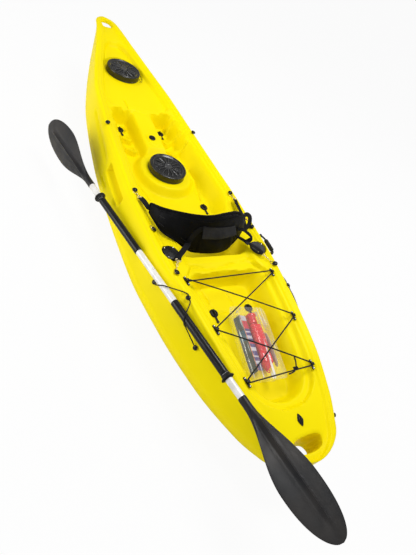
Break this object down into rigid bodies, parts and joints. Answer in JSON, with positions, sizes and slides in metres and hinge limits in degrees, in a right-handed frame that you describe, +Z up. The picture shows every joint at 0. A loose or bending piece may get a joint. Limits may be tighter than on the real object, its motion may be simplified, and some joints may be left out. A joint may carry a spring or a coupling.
{
  "type": "fishing kayak",
  "caption": "Sit-on-top fishing kayak with screw hatches, tank well, rod holders, padded seat back, two-piece paddle and stowed safety kit",
  "frame": {"origin": "on the keel's flat underside, halfway along the hull", "axes": "+X to the bow, +Y to port, +Z up"},
  "size_m": [3.1347, 0.9064, 0.4515],
  "materials": {
    "hull": "rotomoulded yellow polyethylene, satin gloss",
    "plastic": "moulded black plastic",
    "cap": "shiny dark grey plastic",
    "rubber": "black rubber",
    "fabric": "black woven nylon with piped hems",
    "webbing": "black flat webbing",
    "cord": "black elastic cord with a woven cover",
    "brass": "plated snap hook wire",
    "shaft": "white coated tube",
    "grip": "black sleeve",
    "blade": "black glass-filled nylon, fine grain",
    "clear": "thin clear formed sheet",
    "red": "glossy red plastic",
    "card": "coated card"
  },
  "bodies": {
    "root": {"hull": "hull", "front_rim": "plastic", "mid_rim": "plastic", "rod_holder_port": "plastic", "rod_holder_starboard": "plastic", "button_foot_port": "plastic", "button_foot_starboard": "plastic", "button_fore_port": "plastic", "button_fore_starboard": "plastic", "button_mid_port": "plastic", "button_mid_starboard": "plastic", "button_aft_port": "plastic", "button_aft_starboard": "plastic", "seat_clip_aft_port": "brass", "seat_clip_aft_starboard": "brass", "seat_clip_fore_port": "brass", "seat_clip_fore_starboard": "brass", "seat_strap_aft_port": "webbing", "seat_strap_aft_starboard": "webbing", "seat_strap_fore_port": "webbing", "seat_strap_fore_starboard": "webbing", "tank_hook_1_port": "plastic", "tank_hook_1_starboard": "plastic", "tank_hook_2_port": "plastic", "tank_hook_2_starboard": "plastic", "tank_hook_3_port": "plastic", "tank_hook_3_starboard": "plastic", "tank_bungee": "cord", "paddle_keeper_port": "cord", "paddle_keeper_starboard": "cord", "kit_case": "clear", "kit_bailer": "red", "kit_torch": "red", "kit_card": "card"},
    "front_hatch_seal": {"front_seal": "rubber"},
    "front_hatch_lid": {"front_lid": "plastic"},
    "mid_hatch_seal": {"mid_seal": "rubber"},
    "mid_hatch_lid": {"mid_lid": "plastic"},
    "console_plug": {"console_plug": "plastic"},
    "drain_plug": {"drain_plug": "plastic"},
    "scupper_foot_port": {"scupper_plug_foot_port": "rubber"},
    "scupper_foot_starboard": {"scupper_plug_foot_starboard": "rubber"},
    "scupper_seat_port": {"scupper_plug_seat_port": "rubber"},
    "scupper_seat_starboard": {"scupper_plug_seat_starboard": "rubber"},
    "scupper_tank_port": {"scupper_plug_tank_port": "rubber"},
    "scupper_tank_starboard": {"scupper_plug_tank_starboard": "rubber"},
    "rod_cap_port": {"rod_cap_port": "cap"},
    "rod_cap_starboard": {"rod_cap_starboard": "cap"},
    "seat": {"seat_back": "fabric", "seat_pocket": "fabric"},
    "carry_handle": {"carry_handle": "plastic"},
    "paddle_aft": {"shaft_aft": "shaft", "grip_aft": "grip", "drip_ring_aft": "rubber", "blade_aft": "blade"},
    "paddle_fore": {"shaft_fore": "shaft", "grip_fore": "grip", "drip_ring_fore": "rubber", "blade_fore": "blade"},
    "shaft_button": {"shaft_button": "brass"}
  },
  "joints": [
    {"name": "front_hatch_lift", "type": "slide", "parent": "root", "child": "front_hatch_seal", "axis": [0, 0, 1], "range_m": [0, 0.12]},
    {"name": "front_hatch_turn", "type": "hinge", "parent": "front_hatch_seal", "child": "front_hatch_lid", "pos_m": [0.953, 0, 0.306], "axis": [0, 0, 1], "range_deg": [0, 350]},
    {"name": "mid_hatch_lift", "type": "slide", "parent": "root", "child": "mid_hatch_seal", "axis": [0, 0, 1], "range_m": [0, 0.12]},
    {"name": "mid_hatch_turn", "type": "hinge", "parent": "mid_hatch_seal", "child": "mid_hatch_lid", "pos_m": [0.14, 0, 0.239], "axis": [0, 0, 1], "range_deg": [0, 350]},
    {"name": "console_plug_pull", "type": "slide", "parent": "root", "child": "console_plug", "axis": [-0.0882, 0, 0.9961], "range_m": [0, 0.04]},
    {"name": "drain_plug_pull", "type": "slide", "parent": "root", "child": "drain_plug", "axis": [-0.1559, 0, 0.9878], "range_m": [0, 0.04]},
    {"name": "scupper_foot_port_pull", "type": "slide", "parent": "root", "child": "scupper_foot_port", "axis": [0, 0, 1], "range_m": [0, 0.05]},
    {"name": "scupper_foot_starboard_pull", "type": "slide", "parent": "root", "child": "scupper_foot_starboard", "axis": [0, 0, 1], "range_m": [0, 0.05]},
    {"name": "scupper_seat_port_pull", "type": "slide", "parent": "root", "child": "scupper_seat_port", "axis": [0, 0, 1], "range_m": [0, 0.05]},
    {"name": "scupper_seat_starboard_pull", "type": "slide", "parent": "root", "child": "scupper_seat_starboard", "axis": [0, 0, 1], "range_m": [0, 0.05]},
    {"name": "scupper_tank_port_pull", "type": "slide", "parent": "root", "child": "scupper_tank_port", "axis": [0, 0, 1], "range_m": [0, 0.05]},
    {"name": "scupper_tank_starboard_pull", "type": "slide", "parent": "root", "child": "scupper_tank_starboard", "axis": [0, 0, 1], "range_m": [0, 0.05]},
    {"name": "rod_cap_port_hinge", "type": "hinge", "parent": "root", "child": "rod_cap_port", "pos_m": [-0.468, 0.2925, 0.3], "axis": [-1, 0, 0], "range_deg": [0, 100]},
    {"name": "rod_cap_starboard_hinge", "type": "hinge", "parent": "root", "child": "rod_cap_starboard", "pos_m": [-0.468, -0.2925, 0.3], "axis": [1, 0, 0], "range_deg": [0, 100]},
    {"name": "seat_tilt", "type": "hinge", "parent": "root", "child": "seat", "pos_m": [-0.22, 0.265, 0.3195], "axis": [0.1475, 0.989, -0.0098], "range_deg": [0, 60], "deforming": ["seat_strap_aft_port", "seat_strap_aft_starboard", "seat_strap_fore_port", "seat_strap_fore_starboard"]},
    {"name": "carry_handle_swing", "type": "hinge", "parent": "root", "child": "carry_handle", "pos_m": [-0.435, -0.338, 0.276], "axis": [-1, 0, 0], "range_deg": [0, 90]},
    {"name": "paddle_slide", "type": "slide", "parent": "root", "child": "paddle_aft", "axis": [0.9857, 0.1409, -0.0919], "range_m": [-0.1, 0.05]},
    {"name": "paddle_feather", "type": "hinge", "parent": "paddle_aft", "child": "paddle_fore", "pos_m": [-0.5655, 0.352, 0.2665], "axis": [0.9857, 0.1409, -0.0919], "range_deg": [-60, 60]},
    {"name": "shaft_button_press", "type": "slide", "parent": "paddle_fore", "child": "shaft_button", "axis": [-0.091, -0.013, -0.9958], "range_m": [0, 0.0024], "stiffness_N_per_m": 200}
  ]
}
